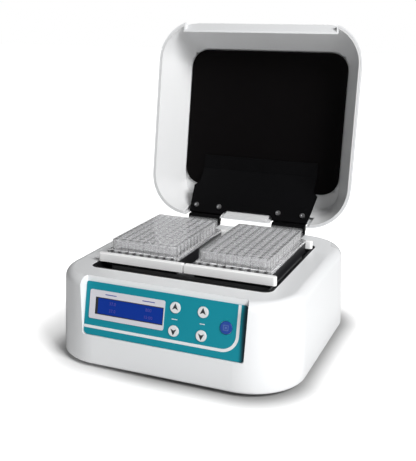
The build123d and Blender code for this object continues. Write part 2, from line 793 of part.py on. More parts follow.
# ---- moving platform ----------------------------------------------------

with BuildPart() as carrier:
    with BuildSketch(base.offset(carrier_z)):
        RectangleRounded(*carrier_size, 6)
    extrude(amount=carrier_thickness)
    discs(base.offset(carrier_z), [(0, 0)], hub_radius, bearing_z - carrier_z)
    discs(base.offset(carrier_z), idler_spots, idler_boss_radius, idler_bearing_z - carrier_z)
    discs(base.offset(bearing_z), [(0, 0)], bearing_radius + press_gap, bearing_width, mode=Mode.SUBTRACT)
    discs(base.offset(bearing_z), [(0, 0)], journal_radius + 2, bearing_width + 2, mode=Mode.SUBTRACT)
    discs(base.offset(idler_bearing_z), idler_spots, idler_bearing_radius + press_gap,
          idler_bearing_width, mode=Mode.SUBTRACT)
    discs(base.offset(idler_bearing_z), idler_spots, idler_journal_radius + 1,
          idler_bearing_width + 1, mode=Mode.SUBTRACT)
    discs(base.offset(carrier_z), block_screw_spots, block_screw_radius + press_gap, carrier_thickness,
          mode=Mode.SUBTRACT)

save(carrier, "carrier")

with BuildPart() as insulation_pad:
    with BuildSketch(base.offset(pad_z)):
        RectangleRounded(*carrier_size, 6)
    extrude(amount=pad_thickness)
    discs(base.offset(pad_z), block_screw_spots, block_screw_radius + 0.1, pad_thickness, mode=Mode.SUBTRACT)
    discs(base.offset(pad_z), sensor_spots, sensor_radius + 0.1, pad_thickness, mode=Mode.SUBTRACT)

save(insulation_pad, "insulation_pad")

with BuildPart() as heater_mats:
    for x in block_xs:
        block(base.offset(heater_z), (block_width - 8, block_length - 8), heater_thickness, (x, 0))
    discs(base.offset(heater_z), block_screw_spots, block_screw_radius + 0.1, heater_thickness,
          mode=Mode.SUBTRACT)
    discs(base.offset(heater_z), sensor_spots, sensor_radius + 0.1, heater_thickness, mode=Mode.SUBTRACT)

save(heater_mats, "heater_mats")

with BuildPart() as block_sensors:
    discs(base.offset(pad_z + 0.2), sensor_spots, sensor_radius, 10)

save(block_sensors, "block_sensors")

nest_size = [s - 2 * (plate_skirt + nest_gap) for s in (plate_width, plate_length)]
nest_top_z = block_top_z + nest_height
head_seat_z = nest_top_z - block_head_height - 0.3

for side, name in ((-1, "block_left"), (1, "block_right")):
    middle = (side * plate_middle_x, 0)
    spots = [s for s in block_screw_spots if s[0] * side > 0]
    with BuildPart() as heat_block:
        block(base.offset(block_z), (block_width, block_length), block_top_z - block_z, middle)
        block(base.offset(block_top_z), nest_size, nest_height, middle)
        discs(base.offset(block_z), spots, block_screw_radius + 0.1, nest_top_z - block_z, mode=Mode.SUBTRACT)
        discs(base.offset(nest_top_z), spots, block_head_radius + 0.2, -block_head_height - 0.3,
              mode=Mode.SUBTRACT)
        discs(base.offset(block_z), [s for s in sensor_spots if s[0] * side > 0], sensor_radius + 0.1, 8,
              mode=Mode.SUBTRACT)
    save(heat_block, name)

block_screws = screws(base.offset(head_seat_z), block_screw_spots, block_head_radius, block_head_height,
                      block_screw_radius, head_seat_z - pad_z + block_screw_bite)
save(block_screws, "block_screws")

with BuildPart() as end_strips:
    strip_length = strip_end_x - strip_split
    for sx in (-1, 1):
        for sy in (-1, 1):
            block(base.offset(strip_bottom_z), (strip_length, strip_thickness), strip_top_z - strip_bottom_z,
                  (sx * (strip_split + strip_length / 2), sy * (block_length + strip_thickness) / 2))
    fillet(edges().filter_by(Axis.Z).filter_by(lambda e: abs(e.center().X) > strip_end_x - 1), 3)
    fillet(faces().filter_by(Axis.Z).sort_by(Axis.Z)[-4:].edges(), 0.8)

save(end_strips, "end_strips")

# ---- microplates and their lids -----------------------------------------

for side, name in ((-1, "left"), (1, "right")):
    seat = Plane((side * plate_middle_x, base_y, plate_z))
    with BuildPart() as plate:
        with BuildSketch(seat):
            RectangleRounded(plate_width, plate_length, plate_corner)
        extrude(amount=plate_flange_height)
        with BuildSketch(seat):
            RectangleRounded(plate_width - 2 * plate_inset, plate_length - 2 * plate_inset, plate_corner)
        extrude(amount=plate_height)
        with BuildSketch(seat.offset(plate_height)):
            with GridLocations(well_pitch, well_pitch, 8, 12):
                RegularPolygon(plate_well_radius, 6)
        extrude(amount=-plate_well_depth, mode=Mode.SUBTRACT)
        block(seat, (plate_width - 2 * plate_skirt, plate_length - 2 * plate_skirt), plate_hollow_depth,
              mode=Mode.SUBTRACT)
    save(plate, f"plate_{name}")

    lid_seat = seat.offset(plate_height + nest_gap)
    with BuildPart() as plate_cover:
        with BuildSketch(lid_seat.offset(plate_lid_top)):
            RectangleRounded(plate_width - 2 * plate_lid_inset, plate_length - 2 * plate_lid_inset, plate_corner)
        extrude(amount=-plate_lid_skirt)
        with BuildSketch(lid_seat):
            RectangleRounded(plate_width - 2 * (plate_inset - nest_gap),
                             plate_length - 2 * (plate_inset - nest_gap), plate_corner)
        extrude(amount=-plate_lid_skirt, mode=Mode.SUBTRACT)
    save(plate_cover, f"plate_lid_{name}")

# ---- lid ----------------------------------------------------------------


def scoop_tool(grow):
    """Wedge under the finger scoop at the front of the lid, grown by a wall."""
    rise = scoop_run / scoop_depth
    start = lid_length - scoop_run - grow * (1 + rise**2) ** 0.5
    deep = lid_height - lid_edge_radius
    with BuildPart() as tool:
        with BuildSketch(lid_side):
            with BuildLine():
                Polyline((start - 4 * rise, 4), (start + deep * rise, -deep), (lid_length + deep, -deep),
                         (lid_length + deep, 4), close=True)
            make_face()
        extrude(amount=scoop_half + grow, both=True)
    return tool.part


with BuildPart() as lid_hollow:
    with BuildSketch(lid):
        with Locations((0, lid_middle)):
            RectangleRounded(lid_width - 2 * lid_wall, lid_length - 2 * lid_wall, lid_corner_radius - lid_wall)
    extrude(amount=-lid_height + lid_wall, taper=lid_draft)
    fillet(faces().sort_by(lid_axis)[0].edges(), lid_edge_radius - lid_wall)
    add(scoop_tool(lid_wall), mode=Mode.SUBTRACT)

with BuildPart() as lid_cover:
    with BuildSketch(lid):
        with Locations((0, lid_middle)):
            RectangleRounded(lid_width, lid_length, lid_corner_radius)
    extrude(amount=-lid_height, taper=lid_draft)
    fillet(faces().sort_by(lid_axis)[0].edges(), lid_edge_radius)
    add(lid_hollow.part, mode=Mode.SUBTRACT)
    add(scoop_tool(0), mode=Mode.SUBTRACT)
    for x in hinge_xs:
        block(lid, (hinge_notch_width, 20), -hinge_notch_depth, (x, 0), mode=Mode.SUBTRACT)

save(lid_cover, "lid_cover")


def liner_tool(grow, depth):
    """Sloping box inside the lid, grown by a wall, down to a depth below the rim."""
    share = depth / lid_panel_seat
    with BuildPart() as tool:
        with BuildSketch(lid):
            with Locations((0, lid_middle)):
                RectangleRounded(*[s + 2 * grow for s in liner_rim_size], liner_rim_radius + grow)
        with BuildSketch(lid.offset(-depth)):
            with Locations((0, lid_middle + share * (liner_deep_middle - lid_middle))):
                RectangleRounded(
                    liner_rim_size[0] + share * (liner_deep_size[0] - liner_rim_size[0]) + 2 * grow,
                    liner_rim_size[1] + share * (liner_deep_size[1] - liner_rim_size[1]) + 2 * grow,
                    liner_rim_radius + share * (liner_deep_radius - liner_rim_radius) + grow,
                )
        loft(ruled=True)
    return tool.part


with BuildPart() as lid_liner:
    add(liner_tool(lid_liner_wall, lid_panel_seat + lid_floor_thickness))
    add(liner_tool(0, lid_panel_seat), mode=Mode.SUBTRACT)
    block(lid, lid_floor_opening, -2 * lid_panel_seat, panel_middle, mode=Mode.SUBTRACT)
    add(scoop_tool(lid_inner_gap), mode=Mode.SUBTRACT)
    for x in hinge_xs:
        block(lid, (liner_notch_width, 40), -liner_notch_depth, (x, 0), mode=Mode.SUBTRACT)

save(lid_liner, "lid_liner")

with BuildPart() as lid_panel:
    with BuildSketch(lid.offset(-lid_panel_depth)):
        with Locations(panel_middle):
            RectangleRounded(*lid_panel_size, lid_panel_radius)
    extrude(amount=-lid_panel_thickness)

save(lid_panel, "lid_panel")

with BuildPart() as lid_heater:
    block(lid.offset(-lid_panel_seat), [s - 2 for s in lid_floor_opening], -lid_heater_thickness, panel_middle)

save(lid_heater, "lid_heater")

with BuildPart() as lid_insulation:
    block(lid.offset(-lid_panel_seat - lid_heater_thickness),
          [s - 2 * lid_insulation_inset for s in lid_floor_opening], -lid_insulation_thickness, panel_middle)

save(lid_insulation, "lid_insulation")

# ---- lid hinge ----------------------------------------------------------

with BuildPart() as hinge_bracket:
    with BuildSketch(bracket.offset(bracket_face - plate_steel)):
        with BuildLine():
            Polyline(
                (-bracket_outline[0][0], bracket_outline[0][1]),
                *[(-x, w) for x, w in bracket_outline[1:]],
                *reversed(bracket_outline),
                close=True,
            )
        make_face()
    extrude(amount=plate_steel)
    block(lid.offset(-lid_panel_depth), (400, 400), -60, panel_middle, mode=Mode.SUBTRACT)
    with BuildSketch(lid.offset(-lid_panel_depth)):
        with Locations((0, (flange_low + flange_high) / 2)):
            Rectangle(2 * bracket_half, flange_high - flange_low)
    extrude(amount=plate_steel)
    discs(bracket.offset(-5), bracket_screw_spots, hinge_screw_radius + 0.1, 20, mode=Mode.SUBTRACT)

save(hinge_bracket, "hinge_bracket")

with BuildPart() as hinge_leaves:
    for x in hinge_xs:
        block(bracket.offset(bracket_face - plate_steel), (hinge_width, leaf_reach - knuckle_radius - 0.6),
              -leaf_thickness, (x, (leaf_reach + knuckle_radius + 0.6) / 2))
        block(bracket.offset(bracket_face - plate_steel), (moving_knuckle, knuckle_radius + 1),
              -leaf_thickness, (x, knuckle_radius / 2 + 0.5))
        with BuildSketch(hinge_axis.offset(x)):
            Circle(knuckle_radius)
        extrude(amount=moving_knuckle / 2, both=True)
        with BuildSketch(hinge_axis.offset(x)):
            Circle(hinge_pin_radius + running_gap)
        extrude(amount=moving_knuckle / 2, both=True, mode=Mode.SUBTRACT)
    discs(bracket.offset(-5), bracket_screw_spots, hinge_screw_radius + 0.1, 20, mode=Mode.SUBTRACT)

save(hinge_leaves, "hinge_leaves")

hinge_screws = screws(bracket.offset(bracket_face), bracket_screw_spots, hinge_head_radius,
                      hinge_head_height, hinge_screw_radius, hinge_screw_length)
save(hinge_screws, "hinge_screws")

fixed_knuckle = (hinge_width - moving_knuckle) / 2 - knuckle_gap

with BuildPart() as hinge_mounts:
    for x in hinge_xs:
        for side in (-1, 1):
            outer = x + side * (hinge_width - fixed_knuckle) / 2
            with BuildSketch(hinge_axis.offset(outer)):
                Circle(knuckle_radius)
                with Locations((0, -axis_above_deck / 2)):
                    Rectangle(5, axis_above_deck)
            extrude(amount=fixed_knuckle / 2, both=True)
            with BuildSketch(hinge_axis.offset(outer)):
                Circle(hinge_pin_radius + press_gap)
            extrude(amount=fixed_knuckle / 2, both=True, mode=Mode.SUBTRACT)
        block(base.offset(deck_z), (hinge_width, mount_reach), mount_thickness,
              (x, axis_y + 2.5 - mount_reach / 2))
    discs(base.offset(deck_z), mount_screw_spots, mount_screw_radius + 0.1, mount_thickness,
          mode=Mode.SUBTRACT)

save(hinge_mounts, "hinge_mounts")

mount_screws = screws(base.offset(deck_z + mount_thickness), mount_screw_spots, mount_head_radius,
                      mount_head_height, mount_screw_radius, mount_screw_length)
save(mount_screws, "mount_screws")

with BuildPart() as hinge_pins:
    for x in hinge_xs:
        with BuildSketch(hinge_axis.offset(x)):
            Circle(hinge_pin_radius)
        extrude(amount=hinge_width / 2, both=True)

save(hinge_pins, "hinge_pins")
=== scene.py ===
from contextlib import contextmanager
from functools import cache
from math import cos, pi, radians, sin

import bmesh
import bpy
from bpy.props import FloatProperty, FloatVectorProperty, PointerProperty
from bpy.types import Operator, Panel, PropertyGroup
from mathutils import Matrix, Vector


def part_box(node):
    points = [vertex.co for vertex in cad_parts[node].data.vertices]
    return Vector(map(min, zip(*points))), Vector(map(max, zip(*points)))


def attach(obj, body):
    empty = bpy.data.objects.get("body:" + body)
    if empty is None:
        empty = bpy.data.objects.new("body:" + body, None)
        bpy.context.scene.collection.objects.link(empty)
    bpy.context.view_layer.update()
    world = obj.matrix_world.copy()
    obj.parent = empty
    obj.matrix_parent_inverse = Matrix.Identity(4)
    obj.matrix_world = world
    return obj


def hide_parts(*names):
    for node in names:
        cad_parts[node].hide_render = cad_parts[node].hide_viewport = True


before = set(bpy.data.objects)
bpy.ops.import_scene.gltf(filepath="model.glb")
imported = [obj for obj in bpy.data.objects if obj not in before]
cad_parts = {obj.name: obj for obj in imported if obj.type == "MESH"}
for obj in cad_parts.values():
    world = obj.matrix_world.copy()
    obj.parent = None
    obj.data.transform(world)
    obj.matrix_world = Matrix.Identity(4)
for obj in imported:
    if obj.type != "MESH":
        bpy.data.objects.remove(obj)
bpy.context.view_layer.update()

bl_info = {
    "name": "Two-Plate Thermal Mixer",
    "version": (1, 0, 0),
    "blender": (4, 5, 0),
    "location": "View3D > Sidebar > Thermal Mixer",
    "description": "Dresses the thermal mixer with its finishes, microplates, keys and studio",
    "category": "Object",
}

MM = 0.001

# The control panel leans back by its tilt. Its frame has X across the panel, Y up it and Z out
# of it, and starts on the floor of the recess, behind the middle of the film.
PANEL_TILT = radians(11.8)
PANEL_FACE = 1.2 * MM  # thickness of the film
PANEL_OUT = Vector((0, -cos(PANEL_TILT), sin(PANEL_TILT)))
FILM_MIDDLE = sum((Vector(corner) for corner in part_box("front_panel")), Vector()) / 2
PANEL_BACK = Matrix.Translation(FILM_MIDDLE - PANEL_OUT * PANEL_FACE / 2)
PANEL = PANEL_BACK @ Matrix.Rotation(radians(90) - PANEL_TILT, 4, "X")
DISPLAY_AT = (-37.7 * MM, 3.7 * MM)

# ---- sizes that a user may change ---------------------------------------


class ThermalMixerFinish(PropertyGroup):
    """Colours of the thermal mixer."""

    casing: FloatVectorProperty(
        name="Casing", description="Colour of the casing and hood", subtype="COLOR",
        size=3, min=0, max=1, default=(0.86, 0.87, 0.88))
    film: FloatVectorProperty(
        name="Panel Film", description="Colour of the control panel", subtype="COLOR",
        size=3, min=0, max=1, default=(0.004, 0.262, 0.338))
    display: FloatVectorProperty(
        name="Display", description="Colour of the lit display", subtype="COLOR",
        size=3, min=0, max=1, default=(0.003, 0.035, 0.31))
    run_key: FloatVectorProperty(
        name="Run Key", description="Colour of the round run key", subtype="COLOR",
        size=3, min=0, max=1, default=(0.012, 0.06, 0.33))


class ThermalMixerPlates(PropertyGroup):
    """Sizes of the microplates and their lids."""

    pitch: FloatProperty(
        name="Well Pitch", description="Distance between the middles of two wells",
        unit="LENGTH", default=9.0 * MM)
    well_radius: FloatProperty(
        name="Well Radius", description="Inner radius of a well", unit="LENGTH", default=3.35 * MM)
    well_wall: FloatProperty(
        name="Well Wall", description="Thickness of a well's wall",
        unit="LENGTH", default=0.75 * MM)
    deck: FloatProperty(
        name="Deck", description="Thickness of the plate's upper sheet",
        unit="LENGTH", default=1.3 * MM)
    skirt: FloatProperty(
        name="Skirt", description="Thickness of the plate's outer walls",
        unit="LENGTH", default=1.2 * MM)


class ThermalMixerPrint(PropertyGroup):
    """Sizes of the printed and lit parts of the control panel."""

    stripe: FloatProperty(
        name="Stripe Width", description="Width of the white stripe",
        unit="LENGTH", default=3.0 * MM)
    bend: FloatProperty(
        name="Stripe Bend", description="Radius of the stripe's middle where it turns up",
        unit="LENGTH", default=16.0 * MM)
    arrow: FloatProperty(
        name="Arrow Size", description="Radius of the arrows on the keys",
        unit="LENGTH", default=3.9 * MM)


class ThermalMixerStage(PropertyGroup):
    """Camera and lights around the thermal mixer."""

    turn: FloatProperty(
        name="Camera Turn", description="How far the camera stands round to the right of the front",
        subtype="ANGLE", default=radians(23.12))
    dip: FloatProperty(
        name="Camera Dip", description="How far the camera looks down",
        subtype="ANGLE", default=radians(15.2))
    roll: FloatProperty(
        name="Camera Roll", description="How far the camera leans",
        subtype="ANGLE", default=radians(0.29))
    place: FloatVectorProperty(
        name="Camera Place", description="Where the camera stands", subtype="XYZ", unit="LENGTH",
        size=3, default=(0.31327, -0.80222, 0.36172))
    shift: FloatVectorProperty(
        name="Camera Shift", description="Shift of the picture across and up, as shares of it",
        size=2, default=(0.0198, -0.0250))
    lens: FloatProperty(
        name="Lens", description="Focal length in millimetres",
        subtype="DISTANCE_CAMERA", default=60.06)
    key_power: FloatProperty(
        name="Key Light", description="Power of the key light", unit="POWER", default=58.0)
    fill_power: FloatProperty(
        name="Fill Light", description="Power of the fill light", unit="POWER", default=3.0)
    surround: FloatProperty(
        name="Surround", description="Strength of the light from all round", min=0.0, default=0.12)


# ---- mesh helpers -------------------------------------------------------


def deselect_all():
    """Leave nothing selected."""
    for obj in bpy.context.selected_objects:
        obj.select_set(False)


def focus(obj):
    """Make one object the selected and active one."""
    deselect_all()
    obj.select_set(True)
    bpy.context.view_layer.objects.active = obj


@contextmanager
def edit_mode(obj, kind="FACE"):
    """Edit one object's mesh, with nothing selected at the start."""
    focus(obj)
    bpy.ops.object.mode_set(mode="EDIT")
    bpy.ops.mesh.select_mode(type=kind)
    bpy.ops.mesh.select_all(action="DESELECT")
    yield obj
    bpy.ops.object.mode_set(mode="OBJECT")


def pick_faces(obj, test):
    """Select the faces whose centre and normal pass a test."""
    mesh = bmesh.from_edit_mesh(obj.data)
    for face in mesh.faces:
        face.select_set(bool(test(face.calc_center_median(), face.normal)))
    bmesh.update_edit_mesh(obj.data)


def pick_edges(obj, test):
    """Select the edges whose middle and direction pass a test."""
    mesh = bmesh.from_edit_mesh(obj.data)
    for edge in mesh.edges:
        a, b = edge.verts[0].co, edge.verts[1].co
        edge.select_set(bool(test((a + b) / 2, (b - a).normalized())))
    bmesh.update_edit_mesh(obj.data)


def pick_verts(obj, test):
    """Select the vertices whose place passes a test."""
    mesh = bmesh.from_edit_mesh(obj.data)
    mesh.select_mode = {"VERT"}
    bpy.context.tool_settings.mesh_select_mode = (True, False, False)
    for vert in mesh.verts:
        vert.select_set(bool(test(vert.co)))
    mesh.select_flush_mode()
    bmesh.update_edit_mesh(obj.data)


def new_block(name, size, centre):
    """Add a cube and stretch it to a size, with its place in its mesh."""
    bpy.ops.mesh.primitive_cube_add(size=1, location=(0, 0, 0))
    obj = bpy.context.object
    obj.name = name
    obj.data.name = name
    obj.data.transform(Matrix.Translation(centre) @ Matrix.Diagonal((*size, 1)))
    return obj


def settle(obj, place=Matrix.Identity(4)):
    """Move a finished mesh to its place and leave the object at the origin."""
    obj.data.transform(place)
    obj.matrix_world = Matrix.Identity(4)


def apply_modifier(obj, kind, **values):
    """Add a modifier, set it and apply it."""
    focus(obj)
    modifier = obj.modifiers.new(kind.title(), kind)
    for key, value in values.items():
        setattr(modifier, key, value)
    bpy.ops.object.modifier_apply(modifier=modifier.name)


def cut(obj, cutter):
    """Cut one closed piece out of another and remove the cutter."""
    apply_modifier(obj, "BOOLEAN", operation="DIFFERENCE", object=cutter, solver="EXACT")
    bpy.data.objects.remove(cutter)


def join(obj, other):
    """Join one closed piece to another and remove the second."""
    apply_modifier(obj, "BOOLEAN", operation="UNION", object=other, solver="EXACT")
    bpy.data.objects.remove(other)


def repeat(obj, counts, pitch):
    """Repeat a mesh in rows and columns about its place, as one mesh."""
    for axis, count in enumerate(counts):
        step = [0.0, 0.0, 0.0]
        step[axis] = pitch
        apply_modifier(obj, "ARRAY", count=count, use_relative_offset=False,
                       use_constant_offset=True, constant_offset_displace=step)
    middle = [-(count - 1) / 2 * pitch for count in counts]
    obj.data.transform(Matrix.Translation((*middle, 0)))


def soften(obj, width, steps=2):
    """Round the sharp edges of a mesh."""
    apply_modifier(obj, "BEVEL", width=width, segments=steps, limit_method="ANGLE",
                   angle_limit=radians(40))


def rounded_block(name, size, centre, corner, steps=4):
    """A block with rounded upright corners."""
    obj = new_block(name, size, centre)
    with edit_mode(obj, "EDGE"):
        pick_edges(obj, lambda middle, line: abs(line.z) > 0.9)
        bpy.ops.mesh.bevel(offset=corner, segments=steps, affect="EDGES")
    return obj


def new_disc(name, radius, low, high, at=(0, 0), sides=48):
    """Add an upright cylinder between two heights, ready to be shaped."""
    bpy.ops.mesh.primitive_cylinder_add(
        vertices=sides, radius=radius, depth=high - low, location=(0, 0, 0))
    obj = bpy.context.object
    obj.name = name
    obj.data.name = name
    obj.data.transform(Matrix.Translation((*at, (low + high) / 2)))
    return obj


def copy_piece(obj, name):
    """Copy a piece with a mesh of its own."""
    twin = obj.copy()
    twin.data = obj.data.copy()
    twin.name = name
    twin.data.name = name
    bpy.context.scene.collection.objects.link(twin)
    return twin


def corners(node):
    """The lowest and highest corner of a CAD node at rest."""
    low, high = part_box(node)
    return Vector(low), Vector(high)


def smooth(obj):
    """Smooth the shading where faces meet gently."""
    focus(obj)
    bpy.ops.object.shade_smooth_by_angle(angle=radians(35))


def dress(obj, material, slot, body, *nodes):
    """Give a finished piece its material and body, and let it stand for CAD nodes. The slot is not
    used.
    """
    obj.data.materials.clear()
    obj.data.materials.append(material)
    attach(obj, body)
    if nodes:
        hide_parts(*nodes)


def lay_pair(left, twin, node, material):
    """Copy the left piece for the right, and seat both in the place of their CAD nodes."""
    for piece, side in ((left, "left"), (copy_piece(left, twin), "right")):
        body = f"{node}_{side}"
        low, high = corners(body)
        middle = (low + high) / 2
        settle(piece, Matrix.Translation((middle.x, middle.y, low.z)))
        dress(piece, material, "clear_plate", body, body)
        smooth(piece)


# ---- shared shader effects ----------------------------------------------


def new_group(name, inputs, outputs):
    """Start a shader node group with named inputs and outputs."""
    group = bpy.data.node_groups.new(name, "ShaderNodeTree")
    for label, kind, value in inputs:
        socket = group.interface.new_socket(name=label, in_out="INPUT", socket_type=kind)
        if value is not None:
            socket.default_value = value
    for label, kind in outputs:
        group.interface.new_socket(name=label, in_out="OUTPUT", socket_type=kind)
    entry = group.nodes.new("NodeGroupInput")
    leave = group.nodes.new("NodeGroupOutput")
    return group, entry, leave


def ramp(nodes, links, source, start, end, low=0.0, high=1.0, kind="SMOOTHSTEP"):
    """Turn a value between two limits into a share between two others."""
    node = nodes.new("ShaderNodeMapRange")
    node.interpolation_type = kind
    for label, value in (("From Min", start), ("From Max", end), ("To Min", low), ("To Max", high)):
        node.inputs[label].default_value = value
    links.new(source, node.inputs["Value"])
    return node.outputs["Result"]


def combine(nodes, links, kind, first, second):
    """Join two values by one sum."""
    node = nodes.new("ShaderNodeMath")
    node.operation = kind
    links.new(first, node.inputs[0])
    links.new(second, node.inputs[1])
    return node.outputs["Value"]


def vector_steps(nodes, links, *steps):
    """Pass the place of a point on the piece through vector sums, each with its own vectors."""
    source = nodes.new("ShaderNodeTexCoord").outputs["Object"]
    for kind, *values in steps:
        node = nodes.new("ShaderNodeVectorMath")
        node.operation = kind
        for slot, value in enumerate(values, start=1):
            node.inputs[slot].default_value = value
        links.new(source, node.inputs[0])
        source = node.outputs["Value" if kind in ("LENGTH", "DOT_PRODUCT") else "Vector"]
    return source


def moulding_group():
    """Fine moulded skin with a slow wave, as on injection-moulded plastic."""
    group, entry, leave = new_group(
        "Moulded Skin",
        [("Coordinates", "NodeSocketVector", None), ("Grain Size", "NodeSocketFloat", 900.0),
         ("Wave Size", "NodeSocketFloat", 9.0)],
        [("Height", "NodeSocketFloat"), ("Mottle", "NodeSocketFloat")])
    nodes, links = group.nodes, group.links
    grain = nodes.new("ShaderNodeTexNoise")
    grain.inputs["Detail"].default_value = 3
    wave = nodes.new("ShaderNodeTexNoise")
    wave.inputs["Detail"].default_value = 4
    wave.inputs["Roughness"].default_value = 0.55
    mix = nodes.new("ShaderNodeMath")
    mix.operation = "MULTIPLY_ADD"
    mix.inputs[1].default_value = 0.25
    links.new(entry.outputs["Coordinates"], grain.inputs["Vector"])
    links.new(entry.outputs["Grain Size"], grain.inputs["Scale"])
    links.new(entry.outputs["Coordinates"], wave.inputs["Vector"])
    links.new(entry.outputs["Wave Size"], wave.inputs["Scale"])
    links.new(grain.outputs["Fac"], mix.inputs[0])
    links.new(wave.outputs["Fac"], mix.inputs[2])
    links.new(mix.outputs["Value"], leave.inputs["Height"])
    links.new(wave.outputs["Fac"], leave.inputs["Mottle"])
    return group


def brushing_group():
    """Long fine lines with small pits, as on machined or brushed metal."""
    group, entry, leave = new_group(
        "Tool Lines",
        [("Coordinates", "NodeSocketVector", None),
         ("Stretch", "NodeSocketVector", (40.0, 1800.0, 1800.0))],
        [("Height", "NodeSocketFloat"), ("Streaks", "NodeSocketFloat")])
    nodes, links = group.nodes, group.links
    scale = nodes.new("ShaderNodeVectorMath")
    scale.operation = "MULTIPLY"
    lines = nodes.new("ShaderNodeTexNoise")
    lines.inputs["Scale"].default_value = 1.0
    lines.inputs["Detail"].default_value = 5
    pits = nodes.new("ShaderNodeTexNoise")
    pits.inputs["Scale"].default_value = 60.0
    add = nodes.new("ShaderNodeMath")
    add.operation = "MULTIPLY_ADD"
    add.inputs[1].default_value = 0.3
    links.new(entry.outputs["Coordinates"], scale.inputs[0])
    links.new(entry.outputs["Stretch"], scale.inputs[1])
    links.new(scale.outputs["Vector"], lines.inputs["Vector"])
    links.new(entry.outputs["Coordinates"], pits.inputs["Vector"])
    links.new(pits.outputs["Fac"], add.inputs[0])
    links.new(lines.outputs["Fac"], add.inputs[2])
    links.new(add.outputs["Value"], leave.inputs["Height"])
    links.new(add.outputs["Value"], leave.inputs["Streaks"])
    return group


# Maker of each effect, and the output that tints the surface
EFFECTS = {"skin": (moulding_group, "Mottle"), "lines": (brushing_group, "Streaks")}


@cache
def shared(effect):
    """The shared node group of an effect, made once."""
    return EFFECTS[effect][0]()



def surface(name, colour, roughness, effect="skin", tint=0.04, rough_range=0.06, bump=0.02,
            **sockets):
    """A principled material whose colour, roughness and bump follow a shared effect."""
    material = bpy.data.materials.new(name)
    material.use_nodes = True
    nodes, links = material.node_tree.nodes, material.node_tree.links
    shader = nodes["Principled BSDF"]
    place = nodes.new("ShaderNodeTexCoord")
    group = nodes.new("ShaderNodeGroup")
    group.node_tree = shared(effect)
    links.new(place.outputs["Object"], group.inputs["Coordinates"])
    mask = group.outputs[EFFECTS[effect][1]]
    blend = nodes.new("ShaderNodeMix")
    blend.data_type = "RGBA"
    light = [min(1.0, c * (1 + tint)) for c in colour]
    dark = [c * (1 - tint) for c in colour]
    blend.inputs["A"].default_value = (*dark, 1)
    blend.inputs["B"].default_value = (*light, 1)
    links.new(mask, blend.inputs["Factor"])
    links.new(blend.outputs["Result"], shader.inputs["Base Color"])
    spread = ramp(nodes, links, mask, 0.3, 0.7, max(0.02, roughness - rough_range),
                  min(1.0, roughness + rough_range), "LINEAR")
    links.new(spread, shader.inputs["Roughness"])
    relief = nodes.new("ShaderNodeBump")
    relief.inputs["Strength"].default_value = bump
    relief.inputs["Distance"].default_value = 0.5 * MM
    links.new(group.outputs["Height"], relief.inputs["Height"])
    links.new(relief.outputs["Normal"], shader.inputs["Normal"])
    for label, value in sockets.items():
        socket = label.replace("_", " ").title().replace("Ior", "IOR")
        shader.inputs[socket].default_value = value
    return material


def paint_over(material, share, colour):
    """Lay a plain colour over a material's own, by a share."""
    nodes, links = material.node_tree.nodes, material.node_tree.links
    base = nodes["Principled BSDF"].inputs["Base Color"]
    blend = nodes.new("ShaderNodeMix")
    blend.data_type = "RGBA"
    blend.inputs["B"].default_value = (*colour, 1)
    links.new(share, blend.inputs["Factor"])
    links.new(base.links[0].from_socket, blend.inputs["A"])
    links.new(blend.outputs["Result"], base)
    return material


def paint_shade_along(material, start, end, share):
    """Paint soft shade on a material, from one place across the mixer to another."""
    nodes, links = material.node_tree.nodes, material.node_tree.links
    across = vector_steps(nodes, links, ("DOT_PRODUCT", (1, 0, 0)))
    # Painted shade: a dark band standing in for the shadow of the recess's right wall
    border = ramp(nodes, links, across, start, end, 0, share)
    return paint_over(material, border, (0.004, 0.006, 0.012))


def shade_between_wells(material, pitch, rim, share):
    """Paint shade on a clear plate between the rims of its wells, standing in for the dark block
    below seen through it.
    """
    nodes, links = material.node_tree.nodes, material.node_tree.links
    low, high = corners("plate_right")
    middle = (low + high) / 2
    far = 40 * pitch  # keeps every place in front of the mixer above zero
    from_well = vector_steps(
        nodes, links,
        ("ADD", (0, far - middle.y, 0)),
        ("ABSOLUTE",),
        ("MULTIPLY_ADD", (1 / pitch, 1 / pitch, 0), ((far - middle.x) / pitch, 0, 0)),
        ("FRACTION",),
        ("SUBTRACT", (0.5, 0.5, 0)),
        ("MULTIPLY", (pitch, pitch, 0)),
        ("LENGTH",))
    painted_well_shade = ramp(nodes, links, from_well, rim - 0.2 * MM, rim + 1.2 * MM, 0, share, "LINEAR")
    return paint_over(material, painted_well_shade, (0.01, 0.01, 0.012))


def let_light_through(material, share):
    """Let light pass a clear material as through a thin sheet, to reach what lies under it."""
    nodes, links = material.node_tree.nodes, material.node_tree.links
    shader, leave = nodes["Principled BSDF"], nodes["Material Output"]
    open_air = nodes.new("ShaderNodeBsdfTransparent")
    open_air.inputs["Color"].default_value = (share, share, share, 1)
    ray = nodes.new("ShaderNodeLightPath")
    mix = nodes.new("ShaderNodeMixShader")
    links.new(ray.outputs["Is Shadow Ray"], mix.inputs["Fac"])
    links.new(shader.outputs["BSDF"], mix.inputs[1])
    links.new(open_air.outputs["BSDF"], mix.inputs[2])
    links.new(mix.outputs["Shader"], leave.inputs["Surface"])
    return material


# ---- finishes -----------------------------------------------------------


